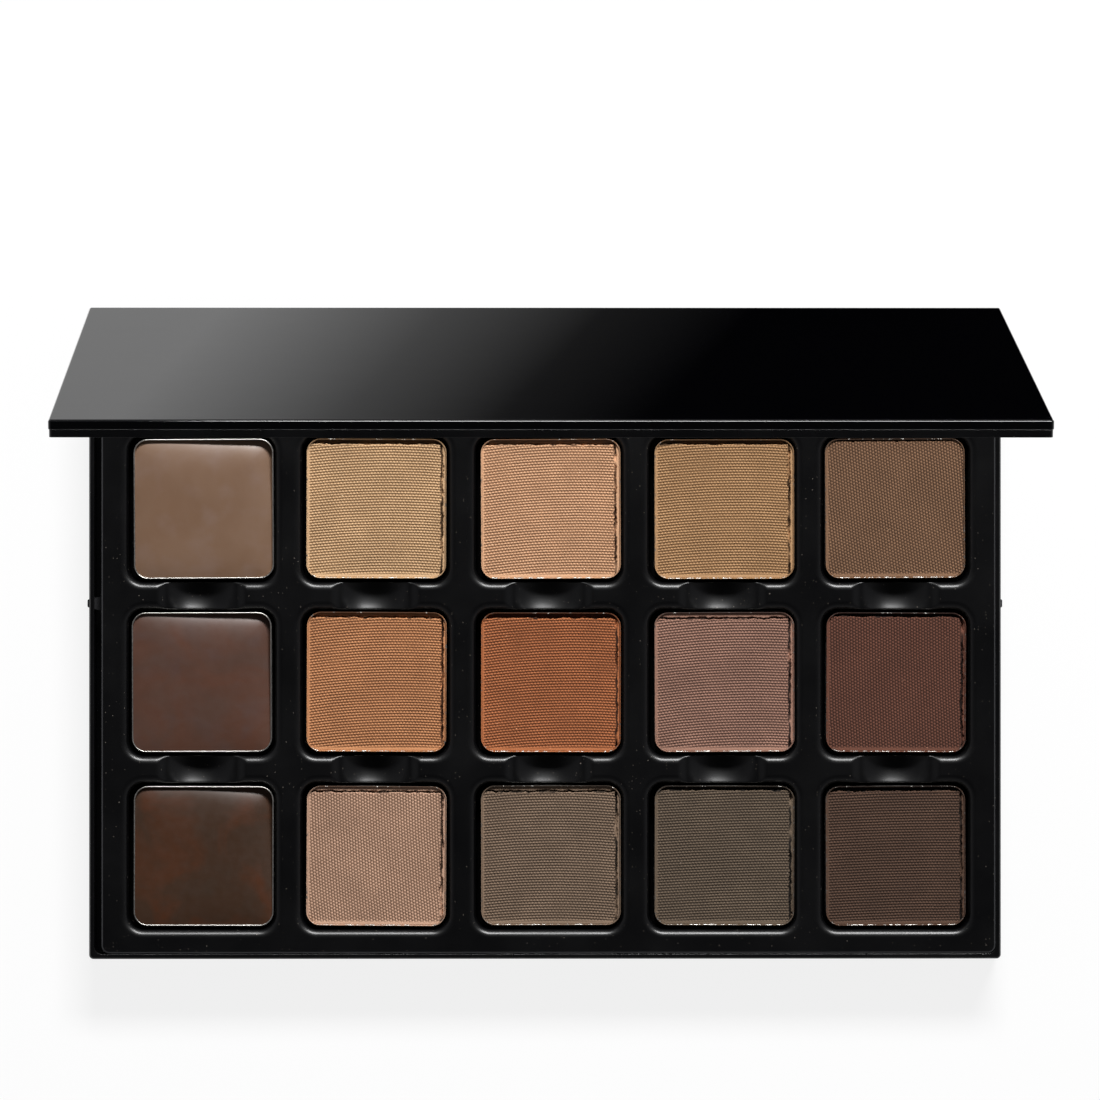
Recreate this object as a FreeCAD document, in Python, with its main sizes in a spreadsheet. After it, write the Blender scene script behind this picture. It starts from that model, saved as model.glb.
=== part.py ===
import FreeCAD, Part
import os
import Sketcher

# Eyeshadow palette: a shallow case with a moulded insert of fifteen wells, lift-out pans
# and a hinged mirror lid. Millimetres, Z up, front of the case towards -Y.
# The origin is the centre of the underside of the case.

doc = FreeCAD.newDocument("eyeshadow_palette")
dims = doc.addObject("Spreadsheet::Sheet", "dims")

DRIVING = {
    "case_width": "169.6",
    "case_depth": "113",
    "base_height": "9",
    "shell_wall": "0.9",
    "shell_floor": "1.2",
    "shell_corner": "0.8",
    "edge_break": "0.3",
    "foot_break": "0.5",
    "insert_width": "166.4",
    "insert_depth": "111",
    "insert_shift": "0.65",
    "insert_corner": "1.5",
    "insert_top": "8.7",
    "plate_thickness": "1",
    "cup_wall": "1",
    "cup_base": "2",
    "well_size": "27.2",
    "well_corner": "2.8",
    "well_depth": "5.5",
    "rim_break": "0.6",
    "pan_pitch": "32.3",
    "front_row": "19.1",
    "notch_width": "13.4",
    "notch_depth": "0.8",
    "notch_reach": "7.4",
    "scoop_mouth": "4.3",
    "scoop_floor": "2.4",
    "scoop_depth": "1.9",
    "bridge_width": "15.4",
    "bridge_depth": "4",
    "bridge_span": "3.6",
    "tab_front": "66.1",
    "tab_length": "4",
    "tab_leg": "1",
    "tab_foot": "4.4",
    "hook_base": "3",
    "hook_tip": "1.2",
    "hook_height": "1.4",
    "hook_floor": "5",
    "hook_show": "0.45",
    "window_length": "3.6",
    "window_height": "2",
    "window_floor": "4.7",
    "sheet_width": "158",
    "sheet_depth": "94",
    "pan_size": "26",
    "pan_corner": "2.6",
    "pan_height": "5",
    "pan_wall": "0.35",
    "pan_lift": "0.02",
    "cake_gap": "0.03",
    "powder_drop": "0.3",
    "cream_drop": "0.2",
    "lid_width": "170",
    "lid_gap": "0.2",
    "frame_thickness": "1.35",
    "frame_inset": "0.15",
    "cover_thickness": "1.7",
    "lid_corner": "0.6",
    "lid_overhang": "2.3",
    "lid_open": "78.6",
    "mirror_width": "146",
    "mirror_depth": "92",
    "mirror_corner": "3",
    "mirror_front": "12.5",
    "mirror_thickness": "1.1",
    "mirror_gap": "0.1",
    "hinge_offset": "2.5",
    "hinge_drop": "2.4",
    "knuckle_radius": "2.2",
    "station_x": "52",
    "lid_knuckle": "14",
    "base_knuckle": "7",
    "knuckle_gap": "0.25",
    "pin_radius": "0.8",
    "pin_clearance": "0.05",
    "pin_recess": "0.4",
    "magnet_length": "12",
    "magnet_width": "2.4",
    "base_magnet_height": "1.5",
    "lid_magnet_height": "0.9",
    "magnet_front": "3",
    "magnet_x": "40",
}
for row, (alias, number) in enumerate(DRIVING.items(), 1):
    dims.set("A%d" % row, alias)
    dims.set("B%d" % row, number)
    dims.setAlias("B%d" % row, alias)
doc.recompute()

COLUMNS = 5
ROWS = 3


def size(**terms):
    # A sum of sheet dimensions, as its number and as the expression that binds it.
    number = sum(factor * float(dims.get(alias)) for alias, factor in terms.items())
    text = " + ".join("%g * dims.%s" % (factor, alias) for alias, factor in terms.items())
    return number, text


def bind(feature, **sizes):
    for name, (number, text) in sizes.items():
        feature.setExpression(name, text)


def offset(feature, x=None, y=None, z=None):
    for axis, value in (("x", x), ("y", y), ("z", z)):
        if value is not None:
            feature.setExpression(".AttachmentOffset.Base." + axis, value[1])


def new_body(label):
    body = doc.addObject("PartDesign::Body", label)
    body.Label = label
    return body


def origin_plane(body, role):
    return next(item for item in body.Origin.OriginFeatures if item.Role == role)


def attach(feature, body, role="XY_Plane"):
    feature.AttachmentSupport = [(origin_plane(body, role), "")]
    feature.MapMode = "FlatFace"


def new_sketch(body, name, height=None):
    sketch = body.newObject("Sketcher::SketchObject", name)
    attach(sketch, body)
    offset(sketch, z=height)
    return sketch


def name_size(sketch, constraint, name, value):
    index = sketch.addConstraint(constraint)
    sketch.renameConstraint(index, name)
    sketch.setExpression("Constraints." + name, value[1])


def rectangle(sketch, width, depth, left, front, radius=None, clip=None):
    # left and front are the distances of the left and front sides from the sketch origin.
    # The corners are square, rounded to a radius or clipped flat.
    x0 = -left[0]
    y0 = -front[0]
    x1 = x0 + width[0]
    y1 = y0 + depth[0]
    corner = radius or clip or (0.0, "")
    r = corner[0]
    point = FreeCAD.Vector
    link = Sketcher.Constraint
    runs = [
        (point(x0 + r, y0, 0), point(x1 - r, y0, 0)),
        (point(x1, y0 + r, 0), point(x1, y1 - r, 0)),
        (point(x1 - r, y1, 0), point(x0 + r, y1, 0)),
        (point(x0, y1 - r, 0), point(x0, y0 + r, 0)),
    ]
    sides = [sketch.addGeometry(Part.LineSegment(*run)) for run in runs]
    tag = "r%d" % sides[0]
    corners = []
    for i in range(4):
        following = (i + 1) % 4
        if radius:
            quarter = 1.5707963267948966
            centre = point(x1 - r if i < 2 else x0 + r, y0 + r if i in (0, 3) else y1 - r, 0)
            circle = Part.Circle(centre, point(0, 0, 1), r)
            arc = Part.ArcOfCircle(circle, (i - 1) * quarter, i * quarter)
            corners.append(sketch.addGeometry(arc))
            sketch.addConstraint(link("Tangent", sides[i], 2, corners[i], 1))
            sketch.addConstraint(link("Tangent", corners[i], 2, sides[following], 1))
        elif clip:
            flat = Part.LineSegment(runs[i][1], runs[following][0])
            corners.append(sketch.addGeometry(flat))
            sketch.addConstraint(link("Coincident", sides[i], 2, corners[i], 1))
            sketch.addConstraint(link("Coincident", corners[i], 2, sides[following], 1))
            across = (1, 2) if i in (0, 3) else (2, 1)
            along = (1, 2) if i in (0, 1) else (2, 1)
            name_size(sketch, link("DistanceX", corners[i], across[0], corners[i], across[1], r),
                      "%s_clip_x%d" % (tag, i), clip)
            name_size(sketch, link("DistanceY", corners[i], along[0], corners[i], along[1], r),
                      "%s_clip_y%d" % (tag, i), clip)
        else:
            sketch.addConstraint(link("Coincident", sides[i], 2, sides[following], 1))
    for i in (0, 2):
        sketch.addConstraint(link("Horizontal", sides[i]))
        sketch.addConstraint(link("Vertical", sides[i + 1]))
    if radius:
        for i in range(1, 4):
            sketch.addConstraint(link("Equal", corners[0], corners[i]))
        name_size(sketch, link("Radius", corners[0], r), tag + "_corner", radius)
    name_size(sketch, link("DistanceX", sides[3], 1, sides[1], 1, width[0]), tag + "_width", width)
    name_size(sketch, link("DistanceY", sides[0], 1, sides[2], 1, depth[0]), tag + "_depth", depth)
    name_size(sketch, link("DistanceX", sides[3], 1, -1, 1, left[0]), tag + "_left", left)
    name_size(sketch, link("DistanceY", sides[0], 1, -1, 1, front[0]), tag + "_front", front)


def pad(body, name, sketch, length, down=False):
    feature = body.newObject("PartDesign::Pad", name)
    feature.Profile = sketch
    feature.Reversed = down
    bind(feature, Length=length)
    doc.recompute()
    return feature


def pocket(body, name, sketch, length):
    before = body.Shape.Volume
    feature = body.newObject("PartDesign::Pocket", name)
    feature.Profile = sketch
    bind(feature, Length=length)
    doc.recompute()
    if body.Shape.Volume >= before:
        raise ValueError(name + " removes nothing")
    return feature


def repeat(body, name, feature, sketch, *runs):
    # Each run is an axis of the sketch, a count and a spacing.
    pattern = body.newObject("PartDesign::MultiTransform", name)
    pattern.Originals = [feature]
    steps = []
    for axis, count, spacing in runs:
        step = body.newObject("PartDesign::LinearPattern", "%s_%d" % (name, len(steps)))
        step.Direction = (sketch, [axis])
        step.Mode = "Spacing"
        step.Occurrences = count
        bind(step, Offset=spacing)
        steps.append(step)
    pattern.Transformations = steps
    body.Tip = pattern
    doc.recompute()


def primitive(body, kind, name, x, y, z, turn=None, **sizes):
    feature = body.newObject("PartDesign::" + kind, name)
    attach(feature, body)
    if turn:
        feature.AttachmentOffset = FreeCAD.Placement(FreeCAD.Vector(), turn)
    offset(feature, x, y, z)
    bind(feature, **sizes)
    doc.recompute()
    return feature


def edges_between(shape, low, high, half_x=1e6, keep_inside=True):
    # Names of the edges that lie wholly within a height band, inside or outside a width.
    names = []
    for index, edge in enumerate(shape.Edges, 1):
        box = edge.BoundBox
        level = box.ZMin >= low - 1e-4 and box.ZMax <= high + 1e-4
        inside = max(abs(box.XMin), abs(box.XMax)) < half_x
        if level and inside == keep_inside:
            names.append("Edge%d" % index)
    return names


def bevelled(body, name, edges, leg):
    base = body.Tip
    feature = body.newObject("PartDesign::Chamfer", name)
    feature.Base = (base, edges)
    bind(feature, Size=leg)
    body.Tip = feature
    doc.recompute()


def plate(body, name, width, depth, left, front, floor, height, radius=None, clip=None):
    sketch = new_sketch(body, name + "_outline", floor)
    rectangle(sketch, width, depth, left, front, radius, clip)
    return pad(body, name, sketch, height)


ALONG_X = FreeCAD.Rotation(FreeCAD.Vector(0, 1, 0), 90)

CASE_WIDTH = size(case_width=1)
CASE_DEPTH = size(case_depth=1)
CASE_LEFT = size(case_width=0.5)
CASE_FRONT = size(case_depth=0.5)
LID_FLOOR = size(base_height=1, lid_gap=1)
HINGE_Y = size(case_depth=0.5, hinge_offset=1)
HINGE_Z = size(base_height=1, lid_gap=1, hinge_drop=-1)
FLUSH = size(edge_break=0)


# Base shell: an open tray with rounded edges, a window for each snap tab and four knuckles.
base_shell = new_body("base_shell")
plate(base_shell, "slab", CASE_WIDTH, CASE_DEPTH, CASE_LEFT, CASE_FRONT, FLUSH,
      size(base_height=1), size(shell_corner=1))
bevelled(base_shell, "foot_edges", edges_between(base_shell.Shape, 0, 0), size(foot_break=1))
top_edges = edges_between(base_shell.Shape, float(dims.base_height), float(dims.base_height))
bevelled(base_shell, "top_edges", top_edges, size(edge_break=1))
cavity = new_sketch(base_shell, "cavity_outline", size(base_height=1))
rectangle(cavity, size(case_width=1, shell_wall=-2), size(case_depth=1, shell_wall=-2),
          size(case_width=0.5, shell_wall=-1), size(case_depth=0.5, shell_wall=-1),
          size(insert_corner=1))
pocket(base_shell, "cavity", cavity, size(base_height=1, shell_floor=-1))
primitive(base_shell, "SubtractiveBox", "tab_windows",
          size(case_width=-0.5, shell_wall=-0.5),
          size(case_depth=-0.5, tab_front=1, window_length=-0.5), size(window_floor=1),
          Length=size(case_width=1, shell_wall=1), Width=size(window_length=1),
          Height=size(window_height=1))

KNUCKLE_START = size(station_x=-1, lid_knuckle=-0.5, knuckle_gap=-1, base_knuckle=-1)
KNUCKLE_STEP = size(lid_knuckle=1, knuckle_gap=2, base_knuckle=1)
STATION_STEP = size(station_x=2)
KNUCKLE_FLOOR = size(base_height=1, lid_gap=1, hinge_drop=-1, knuckle_radius=-1)
web = primitive(base_shell, "AdditiveBox", "knuckle_web", KNUCKLE_START,
                size(case_depth=0.5, shell_wall=-0.5), KNUCKLE_FLOOR,
                Length=size(base_knuckle=1), Width=size(shell_wall=0.5, hinge_offset=1),
                Height=size(knuckle_radius=1))
repeat(base_shell, "knuckle_webs", web, cavity,
       ("H_Axis", 2, KNUCKLE_STEP), ("H_Axis", 2, STATION_STEP))
barrel = primitive(base_shell, "AdditiveCylinder", "knuckle_barrel", KNUCKLE_START, HINGE_Y, HINGE_Z,
                   ALONG_X, Radius=size(knuckle_radius=1), Height=size(base_knuckle=1))
repeat(base_shell, "knuckle_barrels", barrel, cavity,
       ("H_Axis", 2, KNUCKLE_STEP), ("H_Axis", 2, STATION_STEP))
primitive(base_shell, "SubtractiveCylinder", "pin_bore", size(case_width=-0.5), HINGE_Y, HINGE_Z,
          ALONG_X, Radius=size(pin_radius=1), Height=CASE_WIDTH)

# Insert tray: a thin plate with fifteen cups, rounded well rims, and a shallow notch with a
# fingertip scoop across each bar between the rows.
insert_tray = new_body("insert_tray")
PLATE_FLOOR = size(insert_top=1, plate_thickness=-1)
PITCH = size(pan_pitch=1)
GRID = [("H_Axis", COLUMNS, PITCH), ("V_Axis", ROWS, PITCH)]
BARS = [("H_Axis", COLUMNS, PITCH), ("V_Axis", ROWS - 1, PITCH)]
plate(insert_tray, "deck", size(insert_width=1), size(insert_depth=1), size(insert_width=0.5),
      size(insert_depth=0.5), PLATE_FLOOR, size(plate_thickness=1), size(insert_corner=1))
deck_edges = edges_between(insert_tray.Shape, float(dims.insert_top), float(dims.insert_top))
bevelled(insert_tray, "deck_edge", deck_edges, size(edge_break=1))

cup_outline = new_sketch(insert_tray, "cup_outline", PLATE_FLOOR)
rectangle(cup_outline, size(well_size=1, cup_wall=2), size(well_size=1, cup_wall=2),
          size(pan_pitch=2, well_size=0.5, cup_wall=1),
          size(case_depth=0.5, front_row=-1, well_size=0.5, cup_wall=1))
cup = pad(insert_tray, "cup", cup_outline, size(insert_top=1, plate_thickness=-1, cup_base=-1), True)
repeat(insert_tray, "cups", cup, cup_outline, *GRID)

bridge_outline = new_sketch(insert_tray, "bridge_outline", PLATE_FLOOR)
rectangle(bridge_outline, size(bridge_width=1), size(bridge_span=1),
          size(pan_pitch=2, bridge_width=0.5),
          size(case_depth=0.5, front_row=-1, pan_pitch=-0.5, bridge_span=0.5))
bridge = pad(insert_tray, "bridge", bridge_outline, size(bridge_depth=1), True)
repeat(insert_tray, "bridges", bridge, bridge_outline, *BARS)

for name, side, turn in (("left", -1, 90), ("right", 1, -90)):
    leg = size(insert_width=0.5, tab_leg=-1) if side > 0 else size(insert_width=-0.5)
    primitive(insert_tray, "AdditiveBox", "tab_leg_" + name, leg,
              size(case_depth=-0.5, tab_front=1, tab_length=-0.5), size(tab_foot=1),
              Length=size(tab_leg=1), Width=size(tab_length=1),
              Height=size(insert_top=1, plate_thickness=-1, tab_foot=-1))
    primitive(insert_tray, "AdditiveWedge", "tab_hook_" + name,
              size(insert_width=0.5 * side, tab_leg=-0.5 * side), size(case_depth=-0.5, tab_front=1),
              size(hook_floor=1), FreeCAD.Rotation(FreeCAD.Vector(0, 0, 1), turn),
              Xmin=size(hook_base=-0.5), Xmax=size(hook_base=0.5),
              X2min=size(hook_tip=-0.5), X2max=size(hook_tip=0.5), Ymin=FLUSH,
              Ymax=size(case_width=0.5, insert_width=-0.5, insert_shift=-side, tab_leg=0.5, hook_show=1),
              Zmin=FLUSH, Zmax=size(hook_height=1),
              Z2min=size(hook_height=0.25), Z2max=size(hook_height=1))

well_outline = new_sketch(insert_tray, "well_outline", size(insert_top=1))
rectangle(well_outline, size(well_size=1), size(well_size=1),
          size(pan_pitch=2, well_size=0.5), size(case_depth=0.5, front_row=-1, well_size=0.5),
          size(well_corner=1))
well = pocket(insert_tray, "well", well_outline, size(well_depth=1))
repeat(insert_tray, "wells", well, well_outline, *GRID)
well_rims = []
for rim in edges_between(insert_tray.Shape, float(dims.insert_top), float(dims.insert_top),
                         size(pan_pitch=2, well_size=0.5, cup_wall=1)[0]):
    if insert_tray.Shape.getElement(rim).Length < float(dims.case_width) / 2:
        well_rims.append(rim)
bevelled(insert_tray, "well_rims", well_rims, size(rim_break=1))

notch_outline = new_sketch(insert_tray, "notch_outline", size(insert_top=1))
rectangle(notch_outline, size(notch_width=1), size(notch_reach=1),
          size(pan_pitch=2, notch_width=0.5),
          size(case_depth=0.5, front_row=-1, pan_pitch=-0.5, notch_reach=0.5))
notch = pocket(insert_tray, "notch", notch_outline, size(notch_depth=1))
repeat(insert_tray, "notches", notch, notch_outline, *BARS)
scoop = primitive(insert_tray, "SubtractiveCone", "scoop", size(pan_pitch=-2),
                  size(case_depth=-0.5, front_row=1, pan_pitch=0.5),
                  size(insert_top=1, notch_depth=-1, scoop_depth=-1), Radius1=size(scoop_floor=1),
                  Radius2=size(scoop_mouth=1), Height=size(scoop_depth=1))
repeat(insert_tray, "scoops", scoop, notch_outline, *BARS)
# The insert has side play in the shell and sits against its right wall.
insert_tray.setExpression(".Placement.Base.x", size(insert_shift=1)[1])

# Magnetic sheet: lies on the floor of the shell under the cups and holds the pans down.
magnetic_sheet = new_body("magnetic_sheet")
plate(magnetic_sheet, "sheet", size(sheet_width=1), size(sheet_depth=1), size(sheet_width=0.5),
      size(case_depth=0.5, front_row=-1, pan_pitch=-1, sheet_depth=0.5), size(shell_floor=1),
      size(cup_base=1, shell_floor=-1))


# Pans and cakes: each is made at the origin and placed in its own well.
def stand_in_well(body, column, row):
    # row 1 is the row nearest the lid
    across = size(pan_pitch=column - 3, insert_shift=1)
    back = size(case_depth=-0.5, front_row=1, pan_pitch=ROWS - row)
    up = size(insert_top=1, well_depth=-1, pan_lift=1)
    for axis, value in (("x", across), ("y", back), ("z", up)):
        body.setExpression(".Placement.Base." + axis, value[1])
    doc.recompute()


def make_pan(label):
    body = new_body(label)
    plate(body, "drawn_box", size(pan_size=1), size(pan_size=1), size(pan_size=0.5), size(pan_size=0.5),
          FLUSH, size(pan_height=1), size(pan_corner=1))
    inside = new_sketch(body, "inside_outline", size(pan_height=1))
    span = size(pan_size=1, pan_wall=-2)
    reach = size(pan_size=0.5, pan_wall=-1)
    rectangle(inside, span, span, reach, reach, clip=size(pan_corner=1, pan_wall=-1))
    pocket(body, "inside", inside, size(pan_height=1, pan_wall=-1))
    return body


def make_cake(label, drop):
    body = new_body(label)
    span = size(pan_size=1, pan_wall=-2, cake_gap=-2)
    reach = size(pan_size=0.5, pan_wall=-1, cake_gap=-1)
    plate(body, "fill", span, span, reach, reach, size(pan_wall=1),
          size(**{"pan_height": 1, "pan_wall": -1, drop: -1}), clip=size(pan_corner=1, pan_wall=-1))
    return body


for row in range(1, ROWS + 1):
    for column in range(1, COLUMNS + 1):
        place = "row%d_col%d" % (row, column)
        stand_in_well(make_pan("pan_" + place), column, row)
        if column == 1:
            cake = make_cake("cream_" + place, "cream_drop")
        else:
            cake = make_cake("powder_" + place, "powder_drop")
        stand_in_well(cake, column, row)

# Hinge pins: pressed in the knuckles of the shell and running in those of the lid.
for label, factor in (("hinge_pin_left", -1), ("hinge_pin_right", 1)):
    pin = new_body(label)
    primitive(pin, "AdditiveCylinder", "wire", size(station_x=factor, lid_knuckle=-0.5, knuckle_gap=-1,
                                                    base_knuckle=-1, pin_recess=1),
              HINGE_Y, HINGE_Z, ALONG_X, Radius=size(pin_radius=1),
              Height=size(lid_knuckle=1, knuckle_gap=2, base_knuckle=2, pin_recess=-2))


# Closure magnets: two bars under the front of the deck and two in the front of the lid.
def make_bars(label, floor, height):
    bars = doc.addObject("Part::Compound", label)
    bars.Label = label
    pair = []
    for name, factor in (("_left", -1), ("_right", 1)):
        bar = doc.addObject("Part::Box", label + name)
        bind(bar, Length=size(magnet_length=1), Width=size(magnet_width=1), Height=height)
        corner = (size(magnet_x=factor, magnet_length=-0.5),
                  size(case_depth=-0.5, magnet_front=1, magnet_width=-0.5), floor)
        for axis, value in zip("xyz", corner):
            bar.setExpression(".Placement.Base." + axis, value[1])
        pair.append(bar)
    bars.Links = pair
    doc.recompute()
    return bars


base_magnets = make_bars("base_closure_magnets",
                         size(insert_top=1, plate_thickness=-1, base_magnet_height=-1),
                         size(base_magnet_height=1))
lid_magnets = make_bars("lid_closure_magnets",
                        size(base_height=1, lid_gap=1, frame_thickness=1, lid_magnet_height=-1),
                        size(lid_magnet_height=1))

# Lid frame: the inner layer of the lid, with the mirror opening, magnet pockets and knuckles.
lid_frame = new_body("lid_frame")
plate(lid_frame, "layer", size(lid_width=1, frame_inset=-2),
      size(case_depth=1, hinge_offset=1, lid_overhang=1, frame_inset=-2),
      size(lid_width=0.5, frame_inset=-1), size(case_depth=0.5, frame_inset=-1), LID_FLOOR,
      size(frame_thickness=1), size(lid_corner=1))
LID_MID = size(base_height=1, lid_gap=1, frame_thickness=1)
opening = new_sketch(lid_frame, "mirror_opening_outline", LID_MID)
rectangle(opening, size(mirror_width=1, mirror_gap=2), size(mirror_depth=1, mirror_gap=2),
          size(mirror_width=0.5, mirror_gap=1), size(case_depth=0.5, mirror_front=-1, mirror_gap=1),
          size(mirror_corner=1, mirror_gap=1))
pocket(lid_frame, "mirror_opening", opening, size(frame_thickness=1))
slot = primitive(lid_frame, "SubtractiveBox", "magnet_pocket", size(magnet_x=-1, magnet_length=-0.5),
                 size(case_depth=-0.5, magnet_front=1, magnet_width=-0.5),
                 size(base_height=1, lid_gap=1, frame_thickness=1, lid_magnet_height=-1),
                 Length=size(magnet_length=1), Width=size(magnet_width=1),
                 Height=size(frame_thickness=1))
repeat(lid_frame, "magnet_pockets", slot, opening, ("H_Axis", 2, size(magnet_x=2)))
LID_KNUCKLE_START = size(station_x=-1, lid_knuckle=-0.5)
lid_web = primitive(lid_frame, "AdditiveBox", "knuckle_web", LID_KNUCKLE_START,
                    size(case_depth=0.5, hinge_offset=1, knuckle_radius=-1), HINGE_Z,
                    Length=size(lid_knuckle=1), Width=size(knuckle_radius=2),
                    Height=size(hinge_drop=1, edge_break=1))
repeat(lid_frame, "knuckle_webs", lid_web, opening, ("H_Axis", 2, STATION_STEP))
lid_barrel = primitive(lid_frame, "AdditiveCylinder", "knuckle_barrel", LID_KNUCKLE_START, HINGE_Y,
                       HINGE_Z, ALONG_X, Radius=size(knuckle_radius=1), Height=size(lid_knuckle=1))
repeat(lid_frame, "knuckle_barrels", lid_barrel, opening, ("H_Axis", 2, STATION_STEP))
primitive(lid_frame, "SubtractiveCylinder", "pin_bore", size(case_width=-0.5), HINGE_Y, HINGE_Z,
          ALONG_X, Radius=size(pin_radius=1, pin_clearance=1), Height=CASE_WIDTH)

# Lid cover: the plain glossy outer plate.
lid_cover = new_body("lid_cover")
plate(lid_cover, "face", size(lid_width=1), size(case_depth=1, hinge_offset=1, lid_overhang=1),
      size(lid_width=0.5), CASE_FRONT, LID_MID, size(cover_thickness=1), size(lid_corner=1))
cover_top = LID_MID[0] + float(dims.cover_thickness)
bevelled(lid_cover, "face_edge", edges_between(lid_cover.Shape, cover_top, cover_top), size(edge_break=1))

# Mirror, and the adhesive sheet between it and the cover.
mirror = new_body("mirror")
plate(mirror, "pane", size(mirror_width=1), size(mirror_depth=1), size(mirror_width=0.5),
      size(case_depth=0.5, mirror_front=-1), LID_FLOOR, size(mirror_thickness=1), size(mirror_corner=1))
adhesive = new_body("mirror_adhesive")
plate(adhesive, "film", size(mirror_width=1, mirror_corner=-2), size(mirror_depth=1, mirror_corner=-2),
      size(mirror_width=0.5, mirror_corner=-1), size(case_depth=0.5, mirror_front=-1, mirror_corner=-1),
      size(base_height=1, lid_gap=1, mirror_thickness=1), size(frame_thickness=1, mirror_thickness=-1))

# The lid stands open: its pieces, made closed, turn together about the hinge axis.
opened = FreeCAD.Placement(FreeCAD.Vector(), FreeCAD.Rotation(FreeCAD.Vector(1, 0, 0), -float(dims.lid_open)),
                           FreeCAD.Vector(0, HINGE_Y[0], HINGE_Z[0]))
for piece in (lid_frame, lid_cover, mirror, adhesive, lid_magnets):
    piece.Placement = opened
doc.recompute()

sub_parts = [item for item in doc.Objects if item.isDerivedFrom("PartDesign::Body")]
sub_parts += [base_magnets, lid_magnets]
for item in doc.Objects:
    if "Invalid" in item.State or "Error" in item.State:
        raise ValueError(item.Name + " did not build")
os.makedirs("parts", exist_ok=True)
for item in sub_parts:
    if item.Shape.isNull() or not item.Shape.isValid():
        raise ValueError(item.Label + " has no valid shape")
    item.Shape.exportStep("parts/%s.step" % item.Label)
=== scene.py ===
import math

import bmesh
import bpy
from mathutils import Matrix, Vector, noise


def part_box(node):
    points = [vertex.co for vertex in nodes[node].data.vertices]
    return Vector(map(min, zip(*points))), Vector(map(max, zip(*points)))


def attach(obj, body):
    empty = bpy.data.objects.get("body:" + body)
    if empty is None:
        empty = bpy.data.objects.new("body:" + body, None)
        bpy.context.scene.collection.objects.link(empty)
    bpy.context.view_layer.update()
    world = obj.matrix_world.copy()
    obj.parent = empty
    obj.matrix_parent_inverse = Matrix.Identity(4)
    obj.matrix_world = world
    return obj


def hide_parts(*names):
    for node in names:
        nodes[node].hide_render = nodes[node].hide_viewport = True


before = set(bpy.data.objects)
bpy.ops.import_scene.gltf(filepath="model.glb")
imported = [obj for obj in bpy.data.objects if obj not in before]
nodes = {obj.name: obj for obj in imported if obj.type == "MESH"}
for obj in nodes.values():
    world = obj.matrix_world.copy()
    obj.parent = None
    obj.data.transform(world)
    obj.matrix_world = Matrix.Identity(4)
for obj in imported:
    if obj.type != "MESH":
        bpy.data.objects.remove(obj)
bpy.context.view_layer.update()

MM = 0.001

# Plan of the palette, in millimetres.
PITCH = 32.3
COLUMNS = 5
ROWS = 3
MIDDLE_ROW_Y = -5.1
INSERT_SHIFT = 0.65
INSERT_HALF_WIDTH = 83.2
INSERT_HALF_DEPTH = 55.5
INSERT_CORNER = 1.5
INSERT_EDGE = 0.22
DECK_TOP = 8.7
DECK_UNDERSIDE = 7.7
WELL_HALF = 13.6
WELL_CORNER = 2.8
WELL_FLOOR = 3.2
RIM_FILLET = 1.5
CUP_WALL = 1.0
CUP_FOOT = 2.0
CUP_CHAMFER = 0.4
FLOOR_FILLET = 0.5
NOTCH_HALF = 7.4
NOTCH_SLOPE = 2.2
NOTCH_DEPTH = 0.9
NOTCH_FILLET = 0.25
SCOOP_RADIUS = 9.6
SCOOP_LIFT = 7.4
SCOOP_SHIFT = 1.5
SCOOP_BLEND = 0.12
BRIDGE_HALF = 9.2
BRIDGE_DEPTH = 4.0
TAB_Y = 9.6
TAB_HALF = 2.0
TAB_FOOT = 4.4
TAB_LEG = 1.0
TAB_WELD = 0.05
HOOK_REACH = 85.25
HOOK_LOW = 5.0
HOOK_HIGH = 6.4
PAN_HALF = 13.0
PAN_CORNER = 2.6
PAN_WALL = 0.24
CAKE_GAP = 0.02
CAKE_HALF = PAN_HALF - PAN_WALL - CAKE_GAP
CAKE_CORNER = PAN_CORNER - PAN_WALL

# Fills: cloth print and broken edges of the powders, dome of the creams. Lengths are in millimetres.
ROW_PITCH = 0.514
DOT_PITCH = 0.594
PRINT_RELIEF = 0.13
PRINT_BUMP = 0.05
SMOOTH_LEVEL = 0.62
BREAK_DEPTH = 0.7
POWDER_DROP = 0.05
POWDER_CELLS = 230
CREAM_CROWN = 0.58
CREAM_SHOULDER = 3.0
POWDER_CAKING = 0.66
CREAM_CAKING = 0.3

# Meshing: points closer than MERGE millimetres become one, arcs take equal steps, creases are in degrees.
MERGE = 0.002
ARC_STEPS = 8
CREASE_ANGLE = 50


def held(value):
    """The value, kept between 0 and 1."""
    return min(max(value, 0.0), 1.0)


def linear(colour):
    """Linear colour of an sRGB hex value."""
    parts = [int(colour[i:i + 2], 16) / 255 for i in (1, 3, 5)]
    return tuple(c / 12.92 if c <= 0.04045 else ((c + 0.055) / 1.055) ** 2.4 for c in parts) + (1.0,)


def add(tree, kind, inputs=None, **settings):
    """Adds one node, sets it up, and links every input that is given another node or its socket."""
    made = tree.nodes.new(kind)
    for key, value in settings.items():
        setattr(made, key, value)
    for key, value in (inputs or {}).items():
        if isinstance(value, bpy.types.Node):
            value = next(socket for socket in value.outputs if socket.enabled)
        if isinstance(value, bpy.types.NodeSocket):
            tree.links.new(value, made.inputs[key])
        else:
            made.inputs[key].default_value = value
    return made


def math_node(tree, operation, *values):
    """One step of arithmetic on sockets and numbers."""
    return add(tree, "ShaderNodeMath", dict(enumerate(values)), operation=operation)


def remap(tree, value, start, end, to_start=0.0, to_end=1.0, **settings):
    """Maps a value from one range to another, held at both ends."""
    return add(tree, "ShaderNodeMapRange", {"Value": value, "From Min": start, "From Max": end,
                                            "To Min": to_start, "To Max": to_end}, **settings)


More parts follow.
